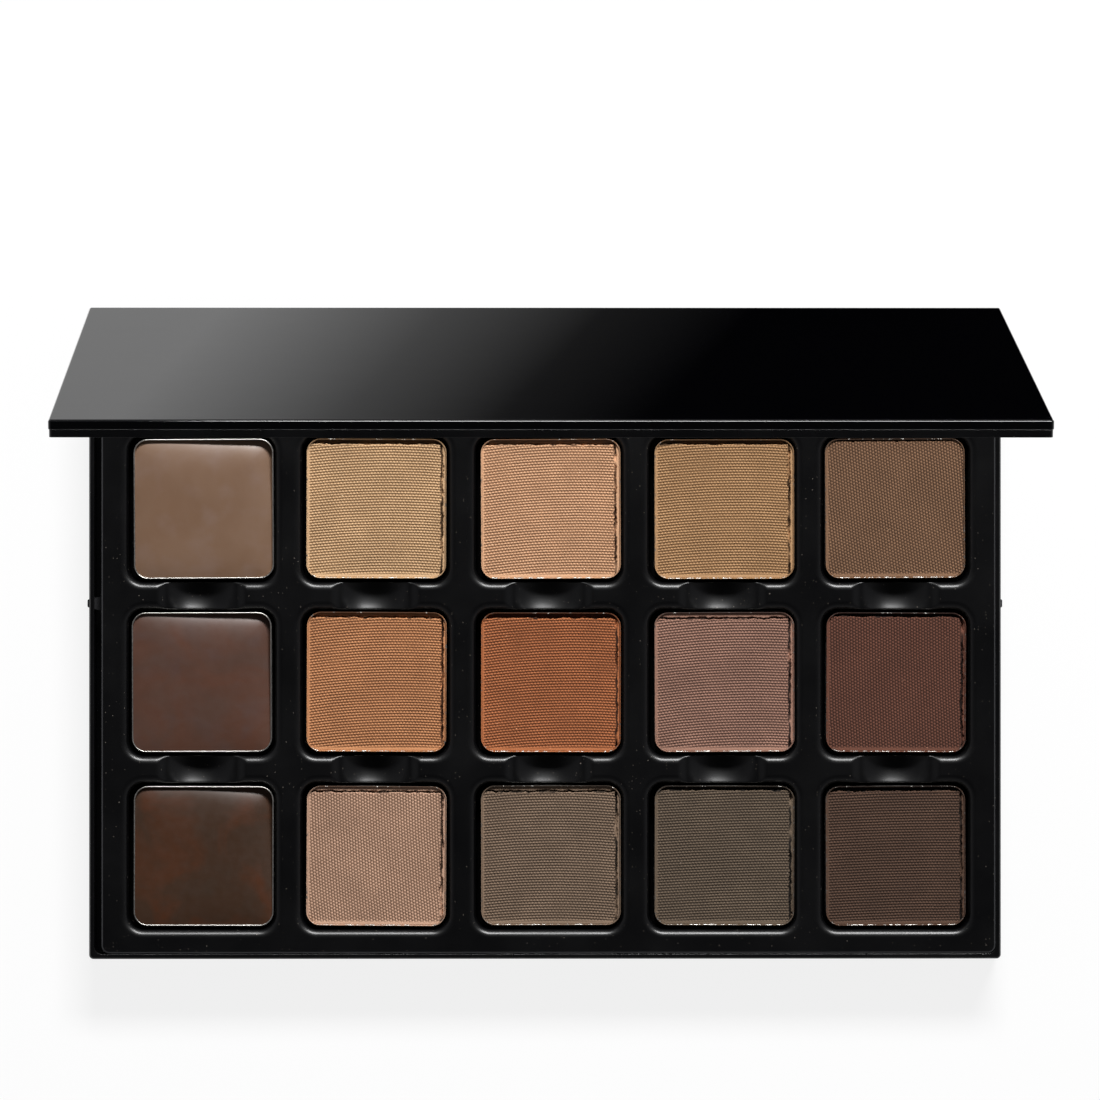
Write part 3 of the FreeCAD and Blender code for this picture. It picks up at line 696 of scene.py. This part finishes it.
def powder_tree():
    """Geometry nodes of a pressed powder cake: a rounded square of cloth-printed dots with broken edges."""
    tree = bpy.data.node_groups.new("pressed_powder_cake", "GeometryNodeTree")
    face = tree.interface
    face.new_socket("Cake", in_out="OUTPUT", socket_type="NodeSocketGeometry")
    for name in ("Width", "Corner", "Top", "Floor", "Row Pitch", "Dot Pitch", "Relief", "Row Turn", "Bow",
                 "Back Gap", "Ledge", "Side Gap", "Break Depth", "Seed"):
        face.new_socket(name, in_out="INPUT", socket_type="NodeSocketFloat")
    face.new_socket("Cells", in_out="INPUT", socket_type="NodeSocketInt")
    face.new_socket("Middle", in_out="INPUT", socket_type="NodeSocketVector")
    face.new_socket("Finish", in_out="INPUT", socket_type="NodeSocketMaterial")
    given = add(tree, "NodeGroupInput").outputs
    half = math_node(tree, "MULTIPLY", given["Width"], 0.5)
    sheet = add(tree, "GeometryNodeMeshGrid", {"Size X": given["Width"], "Size Y": given["Width"],
                                               "Vertices X": given["Cells"], "Vertices Y": given["Cells"]})

    # The corners of the sheet are drawn in to the pan's corner radius.
    flat = add(tree, "GeometryNodeInputPosition")
    size = add(tree, "ShaderNodeVectorMath", {0: flat}, operation="ABSOLUTE")
    straight = math_node(tree, "SUBTRACT", half, given["Corner"])
    past = add(tree, "ShaderNodeVectorMath", {0: size, 1: straight}, operation="SUBTRACT")
    over = add(tree, "ShaderNodeVectorMath", {0: past, 1: (0.0, 0.0, 0.0)}, operation="MAXIMUM")
    kept = add(tree, "ShaderNodeVectorMath", {0: size, 1: over}, operation="SUBTRACT")
    parts = add(tree, "ShaderNodeSeparateXYZ", {0: over})
    most = math_node(tree, "MAXIMUM", parts.outputs[0], parts.outputs[1])
    length = add(tree, "ShaderNodeVectorMath", {0: over}, operation="LENGTH").outputs["Value"]
    some = math_node(tree, "MAXIMUM", length, 1e-7)
    draw_in = math_node(tree, "DIVIDE", most, some)
    drawn = add(tree, "ShaderNodeVectorMath", {0: over, "Scale": draw_in}, operation="SCALE")
    rounded = add(tree, "ShaderNodeVectorMath", {0: kept, 1: drawn}, operation="ADD")
    sign = add(tree, "ShaderNodeVectorMath", {0: flat}, operation="SIGN")
    plan = add(tree, "ShaderNodeVectorMath", {0: rounded, 1: sign}, operation="MULTIPLY")
    outline = add(tree, "GeometryNodeSetPosition", {"Geometry": sheet, "Position": plan})

    # Distances from the four sides, and the noise that breaks the back and right edges.
    spot = add(tree, "GeometryNodeInputPosition")
    xy = add(tree, "ShaderNodeSeparateXYZ", {0: spot})
    from_right = math_node(tree, "SUBTRACT", half, xy.outputs[0])
    from_left = math_node(tree, "ADD", half, xy.outputs[0])
    from_back = math_node(tree, "SUBTRACT", half, xy.outputs[1])
    from_front = math_node(tree, "ADD", half, xy.outputs[1])
    tears = mottle(tree, spot, 1.6, 5.0, {"W": given["Seed"], "Roughness": 0.62}, noise_dimensions="4D")
    torn = remap(tree, tears, 0.0, 1.0, -0.8 * MM, 0.8 * MM)
    patches = mottle(tree, spot, 6, 2.0, {"W": given["Seed"]}, noise_dimensions="4D")
    back = math_node(tree, "ADD", from_back, torn)
    back_in = math_node(tree, "SUBTRACT", back, given["Back Gap"])
    back_step = remap(tree, back_in, 0.06 * MM, -0.1 * MM, interpolation_type="SMOOTHSTEP")
    ledge = remap(tree, back_in, -0.18 * MM, -0.32 * MM, 0.0, given["Ledge"],
                  interpolation_type="SMOOTHSTEP")
    crumbled = math_node(tree, "SUBTRACT", back_step, ledge)
    side_wave = math_node(tree, "MULTIPLY", torn, 0.85)
    side = math_node(tree, "ADD", from_right, side_wave)
    side_in = math_node(tree, "SUBTRACT", side, given["Side Gap"])
    side_off = math_node(tree, "ABSOLUTE", side_in)
    crack = remap(tree, side_off, 0.27 * MM, 0.12 * MM, interpolation_type="SMOOTHSTEP")
    crack_run = remap(tree, patches, 0.38, 0.5)
    side_step = math_node(tree, "MULTIPLY", crack, crack_run)
    broken = math_node(tree, "MAXIMUM", crumbled, side_step)
    fall = math_node(tree, "MULTIPLY", broken, given["Break Depth"])

    # The cloth print: bowed rows of dots, each row set half a dot along from the next.
    turned = add(tree, "ShaderNodeVectorRotate", {"Vector": spot, "Angle": given["Row Turn"]},
                 rotation_type="Z_AXIS")
    sway = mottle(tree, spot, 5, 1.0, {"W": given["Seed"]}, noise_dimensions="4D")
    run = add(tree, "ShaderNodeSeparateXYZ", {0: turned})
    off_middle = math_node(tree, "ADD", run.outputs[0], -3 * MM)
    squared = math_node(tree, "MULTIPLY", off_middle, off_middle)
    bowed = math_node(tree, "MULTIPLY_ADD", squared, given["Bow"], run.outputs[1])
    wavy = math_node(tree, "MULTIPLY_ADD", sway, 0.2 * MM, bowed)
    row = math_node(tree, "DIVIDE", wavy, given["Row Pitch"])
    dot = math_node(tree, "DIVIDE", run.outputs[0], given["Dot Pitch"])
    print_height = cloth_print(tree, row, dot)

    # The print fades out in a smooth margin on the left and front, and stops at the broken edges.
    left_fade = remap(tree, from_left, 0.1 * MM, 0.45 * MM)
    front_fade = remap(tree, from_front, 0.25 * MM, 0.75 * MM)
    side_fade = remap(tree, side_in, 0.0, 0.35 * MM)
    back_fade = remap(tree, back_in, 0.0, 0.3 * MM)
    fade_a = math_node(tree, "MULTIPLY", left_fade, front_fade)
    fade_b = math_node(tree, "MULTIPLY", side_fade, back_fade)
    fade = math_node(tree, "MULTIPLY", fade_a, fade_b)
    print_mix = add(tree, "ShaderNodeMix", {0: fade, 2: SMOOTH_LEVEL, 3: print_height}, data_type="FLOAT")
    unbroken = math_node(tree, "SUBTRACT", 1.0, broken)
    share = math_node(tree, "MULTIPLY", fade, unbroken)

    # Height of the cake: a lip up the left and front walls, a slight swell, the print and the broken edges.
    near_wall = math_node(tree, "MINIMUM", from_left, from_front)
    lip = remap(tree, near_wall, 0.9 * MM, 0.0, 0.0, 0.07 * MM, interpolation_type="SMOOTHSTEP")
    swell = remap(tree, patches, 0.0, 1.0, -0.06 * MM, 0.06 * MM)
    level = math_node(tree, "ADD", given["Top"], swell)
    lipped = math_node(tree, "ADD", level, lip)
    printed = math_node(tree, "MULTIPLY_ADD", print_mix, given["Relief"], lipped)
    sunk = math_node(tree, "SUBTRACT", printed, fall)
    shaped = add(tree, "ShaderNodeCombineXYZ", {0: xy.outputs[0], 1: xy.outputs[1], 2: sunk})
    surface = add(tree, "GeometryNodeSetPosition", {"Geometry": outline, "Position": shaped})
    stored = surface
    fields = {"cloth_row": row, "cloth_dot": dot, "cloth_share": share, "unbroken": unbroken}
    for name, value in fields.items():
        stored = add(tree, "GeometryNodeStoreNamedAttribute",
                     {"Geometry": stored, "Name": name, "Value": value}, data_type="FLOAT", domain="POINT")

    # The sides drop from the edge of the sheet to the pan's floor.
    neighbours = add(tree, "GeometryNodeInputMeshEdgeNeighbors")
    rim = add(tree, "FunctionNodeCompare", {2: neighbours, 3: 1}, data_type="INT", operation="EQUAL")
    down = add(tree, "ShaderNodeCombineXYZ", {2: -1.0})
    walled = add(tree, "GeometryNodeExtrudeMesh", {"Mesh": stored, "Selection": rim, "Offset": down,
                                                   "Offset Scale": 3 * MM}, mode="EDGES")
    wall_spot = add(tree, "ShaderNodeSeparateXYZ", {0: add(tree, "GeometryNodeInputPosition")})
    below = math_node(tree, "SUBTRACT", given["Top"], 2 * MM)
    low = add(tree, "FunctionNodeCompare", {0: wall_spot.outputs[2], 1: below}, data_type="FLOAT",
              operation="LESS_THAN")
    foot = add(tree, "ShaderNodeCombineXYZ", {0: wall_spot.outputs[0], 1: wall_spot.outputs[1],
                                              2: given["Floor"]})
    footed = add(tree, "GeometryNodeSetPosition", {"Geometry": walled.outputs["Mesh"], "Selection": low,
                                                   "Position": foot})
    placed = add(tree, "GeometryNodeTransform", {"Geometry": footed, "Translation": given["Middle"]})
    real = add(tree, "GeometryNodeRealizeInstances", {"Geometry": placed})
    cake = add(tree, "GeometryNodeSetMaterial", {"Geometry": real, "Material": given["Finish"]})
    add(tree, "NodeGroupOutput", {"Cake": cake})
    return tree


def make_powder(name, node, tree, material, settings):
    """One pressed cake, grown by the node tree and kept as a plain closed mesh."""
    low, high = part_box(node)
    piece = put(name, bpy.data.meshes.new(name))
    press = piece.modifiers.new("press", "NODES")
    press.node_group = tree
    settings.update({
        "Width": 2 * CAKE_HALF * MM, "Corner": CAKE_CORNER * MM, "Cells": POWDER_CELLS, "Floor": low.z,
        "Top": high.z - POWDER_DROP * MM, "Middle": ((low.x + high.x) / 2, (low.y + high.y) / 2, 0.0),
        "Row Pitch": ROW_PITCH * MM, "Dot Pitch": DOT_PITCH * MM, "Relief": PRINT_RELIEF * MM,
        "Break Depth": BREAK_DEPTH * MM, "Finish": material})
    for item in tree.interface.items_tree:
        if item.in_out == "INPUT":
            press[item.identifier] = settings[item.name]
    state = bpy.context.evaluated_depsgraph_get()
    mesh = bpy.data.meshes.new_from_object(piece.evaluated_get(state), preserve_all_data_layers=True,
                                           depsgraph=state)
    piece.modifiers.remove(press)
    work = bmesh.new()
    work.from_mesh(mesh)
    bmesh.ops.holes_fill(work, edges=[edge for edge in work.edges if edge.is_boundary])
    bmesh.ops.recalc_face_normals(work, faces=work.faces)
    work.to_mesh(mesh)
    work.free()
    mesh.shade_smooth()
    piece.data = mesh
    return piece


def settle(piece, pan_node, right, back, turn):
    """Moves and turns a piece's mesh as its pan sits in the well."""
    low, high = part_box(pan_node)
    middle = Matrix.Translation((low + high) / 2)
    moved = Matrix.Translation((right * MM, back * MM, 0))
    turned = Matrix.Rotation(math.radians(turn), 4, "Z")
    piece.data.transform(moved @ middle @ turned @ middle.inverted())


def stage_sheet(name, left, front, right, back, z):
    """A flat sheet for the stage, in metres."""
    mesh = bpy.data.meshes.new(name)
    mesh.from_pydata([(left, front, z), (right, front, z), (right, back, z), (left, back, z)], [],
                     [(0, 1, 2, 3)])
    return put(name, mesh)


def graded(tree, value, stops):
    """A colour ramp through its stops: each a position and a colour."""
    made = add(tree, "ShaderNodeValToRGB", {0: value})
    ramp = made.color_ramp.elements
    for element, (position, colour) in zip(ramp, (stops[0], stops[-1])):
        element.position = position
        element.color = (*colour, 1.0)
    for position, colour in stops[1:-1]:
        ramp.new(position).color = (*colour, 1.0)
    return made


# How each pan sits in its well, by row and column: moved right and back in millimetres, turned in degrees.
ASKEW = {
    (1, 1): (0.4, 0.0, 0.3), (1, 2): (0.22, 0.05, -0.2), (1, 3): (0.38, 0.0, 0.25), (1, 4): (0.4, -0.05, 0.1),
    (1, 5): (-0.1, 0.1, 0.3), (2, 1): (0.05, 0.05, 0.15), (2, 2): (0.26, 0.1, -0.3), (2, 3): (0.4, 0.0, -0.1),
    (2, 4): (0.42, 0.05, 0.2), (2, 5): (0.1, 0.0, -0.25), (3, 1): (0.4, 0.0, -0.1), (3, 2): (0.22, 0.0, -0.4),
    (3, 3): (0.4, 0.1, 0.1), (3, 4): (0.42, 0.05, -0.15), (3, 5): (0.0, 0.0, 0.25),
}

# Creams, by row and column: the shade, and the warmer and cooler pigment that drifts in it.
CREAMS = {
    (1, 1): ("#755b48", "#705541", "#7a6459"),
    (2, 1): ("#4c352b", "#533325", "#4d3c39"),
    (3, 1): ("#392517", "#4c260e", "#33261b"),
}

# Powders, by row and column: shade, painted shade of the print's hollows, broken edges and back of the lip,
# painted highlight colour of the mica glints, then how the cloth lay and the edges broke: row turn in
# degrees, bow per millimetre, back gap in millimetres, share left standing behind it, and side gap.
POWDERS = {
    (1, 2): ("#cea981", "#755637", "#fee0b7", 0, 0.004, 0.75, 0.1, 0.6),
    (1, 3): ("#d1a37f", "#7c563b", "#f9d4af", -1, 0.0042, 0.85, 0.4, 0.75),
    (1, 4): ("#b28b64", "#67492c", "#e0ba8c", 0, 0.004, 0.7, 0.2, 0.7),
    (1, 5): ("#82624a", "#422e21", "#b9997c", -96, 0.0012, 0.15, 0.0, -0.6),
    (2, 2): ("#c0865c", "#673f26", "#f3ba8d", -1, 0.0044, 0.8, 0.6, 0.55),
    (2, 3): ("#ab6841", "#5a311c", "#dc9f7a", -1, 0.0042, 0.8, 0.15, 0.5),
    (2, 4): ("#9b7564", "#4e3831", "#cba696", -1, 0.0042, 0.95, 0.92, 0.65),
    (2, 5): ("#684234", "#34201a", "#a37661", -92, 0.0012, 0.55, 0.0, 0.5),
    (3, 2): ("#bd9880", "#6c5140", "#eac9b1", -94, 0.0014, 0.9, 0.88, 0.6),
    (3, 3): ("#816c5a", "#41352b", "#b19d8e", 1, 0.004, 0.95, 0.85, 0.6),
    (3, 4): ("#675849", "#322a23", "#988678", -2, 0.0012, 0.6, 0.0, 0.5),
    (3, 5): ("#574134", "#2a1e18", "#8c7261", -1, 0.0014, 0.65, 0.0, 0.55),
}

lid_gloss = gloss_moulded_abs()
case_satin = satin_moulded_abs()
insert = make_insert(charcoal_moulded_tray())
seat(insert, "base", "insert_charcoal", "insert_tray")
shell = softened("base_shell", case_satin, 0.12)
seat(shell, "base", "case_black", "base_shell")
cover = softened("lid_cover", lid_gloss, 0.24)
seat(cover, "lid", "lid_gloss", "lid_cover")
lid_frame = softened("lid_frame", case_satin, 0.2)
seat(lid_frame, "lid", "case_black", "lid_frame")
mirror = softened("mirror", silvered_glass(), 0.12)
seat(mirror, "lid", "mirror_silver", "mirror")

tinplate = pressed_tinplate()
press_tree = powder_tree()
for row in range(1, ROWS + 1):
    for column in range(1, COLUMNS + 1):
        place = f"row{row}_col{column}"
        body = "refill_" + place
        pan_node = "pan_" + place
        if (row, column) in CREAMS:
            shade, warm, cool = CREAMS[row, column]
            fill_node = "cream_" + place
            pan = make_pan(pan_node + "_drawn", pan_node, shade, cool, CREAM_CAKING, tinplate)
            cake = make_cream(fill_node + "_poured", fill_node, 3.7 * row,
                              poured_cream(place, shade, warm, cool))
        else:
            shade, painted_hollow_shade, painted_mica_glint, turn, bow, back_gap, ledge, side_gap = POWDERS[row, column]
            fill_node = "powder_" + place
            pan = make_pan(pan_node + "_drawn", pan_node, shade, painted_hollow_shade, POWDER_CAKING, tinplate)
            settings = {"Row Turn": math.radians(turn), "Bow": bow / MM, "Back Gap": back_gap * MM,
                        "Ledge": ledge, "Side Gap": side_gap * MM, "Seed": 1.7 * row + 5.3 * column}
            cake = make_powder(fill_node + "_pressed", fill_node, press_tree,
                               pressed_powder(place, shade, painted_hollow_shade, painted_mica_glint), settings)
        for piece in (pan, cake):
            settle(piece, pan_node, *ASKEW[row, column])
        seat(pan, body, "pan_tinplate", pan_node)
        seat(cake, body, "shade_" + place, fill_node)

hidden_finishes = {
    "hinge_pin_left": worked_metal("ground_steel", "#7d7e80", "#a9aaac", (0.05, 1.0, 1.0), 0.22),
    "magnetic_sheet": rolled_sheet("calendered_magnetic_rubber", "#161413", "#24211f", 0.8, 0.7),
    "base_closure_magnets": worked_metal("nickel_plated_magnet", "#9d9a92", "#c4c0b6", (1.0, 1.0, 0.2), 0.18),
    "mirror_adhesive": rolled_sheet("white_foam_adhesive", "#cfccc4", "#e4e1da", 0.6, 0.75),
}
hidden_finishes["hinge_pin_right"] = hidden_finishes["hinge_pin_left"]
hidden_finishes["lid_closure_magnets"] = hidden_finishes["base_closure_magnets"]
for node, material in hidden_finishes.items():
    nodes[node].data.materials.clear()
    nodes[node].data.materials.append(material)

# Stage, in metres: a pale floor that keeps the shadow near the palette and is plain white far from it.
FLOOR_HALF = 6
FLOOR_DROP = 0.0001
SHADOW_REACH = 0.14
WHITE_FROM = 0.34
SHADOW_SHARE = 0.15
floor = stage_sheet("floor", -FLOOR_HALF, -FLOOR_HALF, FLOOR_HALF, FLOOR_HALF, -FLOOR_DROP)
floor_paper, tree, place = new_finish("white_paper_floor")
path = add(tree, "ShaderNodeLightPath").outputs
seen = math_node(tree, "MAXIMUM", path["Is Camera Ray"], path["Is Glossy Ray"])
seen = math_node(tree, "MAXIMUM", seen, path["Is Transmission Ray"])
away = add(tree, "ShaderNodeVectorMath", {0: place}, operation="LENGTH").outputs["Value"]
whiter = remap(tree, away, SHADOW_REACH, WHITE_FROM, 1 - SHADOW_SHARE, 1.0)
share = math_node(tree, "MULTIPLY", seen, whiter)
paper = add(tree, "ShaderNodeBsdfDiffuse", {"Color": linear("#f4f4f4")})
white = add(tree, "ShaderNodeEmission", {"Color": (1.0, 1.0, 1.0, 1.0), "Strength": 1.0})
mixed = add(tree, "ShaderNodeMixShader", {0: share, 1: paper, 2: white})
add(tree, "ShaderNodeOutputMaterial", {"Surface": mixed})
floor.data.materials.append(floor_paper)

# A soft sky, white at the horizon and dim overhead: stops by the height of the direction.
SKY = ((0.032, (1.0, 1.0, 1.0)), (0.07, (0.28, 0.28, 0.29)), (0.45, (0.22, 0.22, 0.23)),
       (0.92, (0.025, 0.025, 0.026)))
world = bpy.data.worlds.new("studio")
bpy.context.scene.world = world
world.use_nodes = True
tree = world.node_tree
tree.nodes.clear()
direction = add(tree, "ShaderNodeTexCoord").outputs["Generated"]
height = add(tree, "ShaderNodeSeparateXYZ", {0: direction}).outputs[2]
sky = add(tree, "ShaderNodeBackground", {"Color": graded(tree, height, SKY), "Strength": 1.0})
add(tree, "ShaderNodeOutputWorld", {"Surface": sky})

# One soft key lamp behind the palette, a little to the right.
KEY_AZIMUTH = math.radians(11)
KEY_ELEVATION = math.radians(35)
KEY_DISTANCE = 1.6
KEY_WIDTH = 0.85
KEY_DEPTH = 0.3
KEY_POWER = 44
key_data = bpy.data.lights.new("key", "AREA")
key_data.shape = "RECTANGLE"
key_data.size = KEY_WIDTH
key_data.size_y = KEY_DEPTH
key_data.energy = KEY_POWER
key = put("key", key_data)
toward = Vector((math.sin(KEY_AZIMUTH) * math.cos(KEY_ELEVATION),
                 math.cos(KEY_AZIMUTH) * math.cos(KEY_ELEVATION), math.sin(KEY_ELEVATION)))
key.location = toward * KEY_DISTANCE
key.rotation_mode = "QUATERNION"
key.rotation_quaternion = toward.to_track_quat("Z", "Y")

# The open lid doesn't stand in the way of the key lamp.
past_lid = bpy.data.collections.new("key_passes_lid")
for piece in (cover, lid_frame, mirror, nodes["mirror_adhesive"], nodes["lid_closure_magnets"]):
    past_lid.objects.link(piece)
key.light_linking.blocker_collection = past_lid
for item in past_lid.collection_objects:
    item.light_linking.link_state = "EXCLUDE"

# A card on the floor behind the lid, seen only in reflections, grades the gloss of the lid's face.
CARD_GREYS = ((0.0, 0.42), (0.42, 0.13), (0.72, 0.02), (1.0, 0.0))
CARD_FADE = 0.1
CARD_SLANT = 0.9
card = stage_sheet("lid_card", -0.3, 0.066, 0.3, 0.4, 0.0)
card.visible_camera = False
card.visible_diffuse = False
card.visible_shadow = False
card_paper, tree, place = new_finish("graded_card")
spot = add(tree, "ShaderNodeSeparateXYZ", {0: place})
slant = math_node(tree, "MULTIPLY_ADD", spot.outputs[1], CARD_SLANT, spot.outputs[0])
grade = graded(tree, remap(tree, slant, 0.0, CARD_FADE), [(at, (grey,) * 3) for at, grey in CARD_GREYS])
glow = add(tree, "ShaderNodeEmission", {"Color": grade, "Strength": 1.0})
add(tree, "ShaderNodeOutputMaterial", {"Surface": glow})
card.data.materials.append(card_paper)

# Camera far above, looking down with a slight lean, framed as a square picture. Its place is in millimetres.
CAMERA_PLACE = (-11.35, 19.55, 1224)
CAMERA_LEAN = -0.01006
CAMERA_LENS = 213.8
CAMERA_SENSOR = 36
camera_data = bpy.data.cameras.new("camera")
camera_data.sensor_width = CAMERA_SENSOR
camera_data.lens = CAMERA_LENS
camera = put("camera", camera_data)
camera.location = [value * MM for value in CAMERA_PLACE]
camera.rotation_euler = (0.0, CAMERA_LEAN, 0.0)
bpy.context.scene.camera = camera
bpy.context.scene.view_settings.view_transform = "Standard"
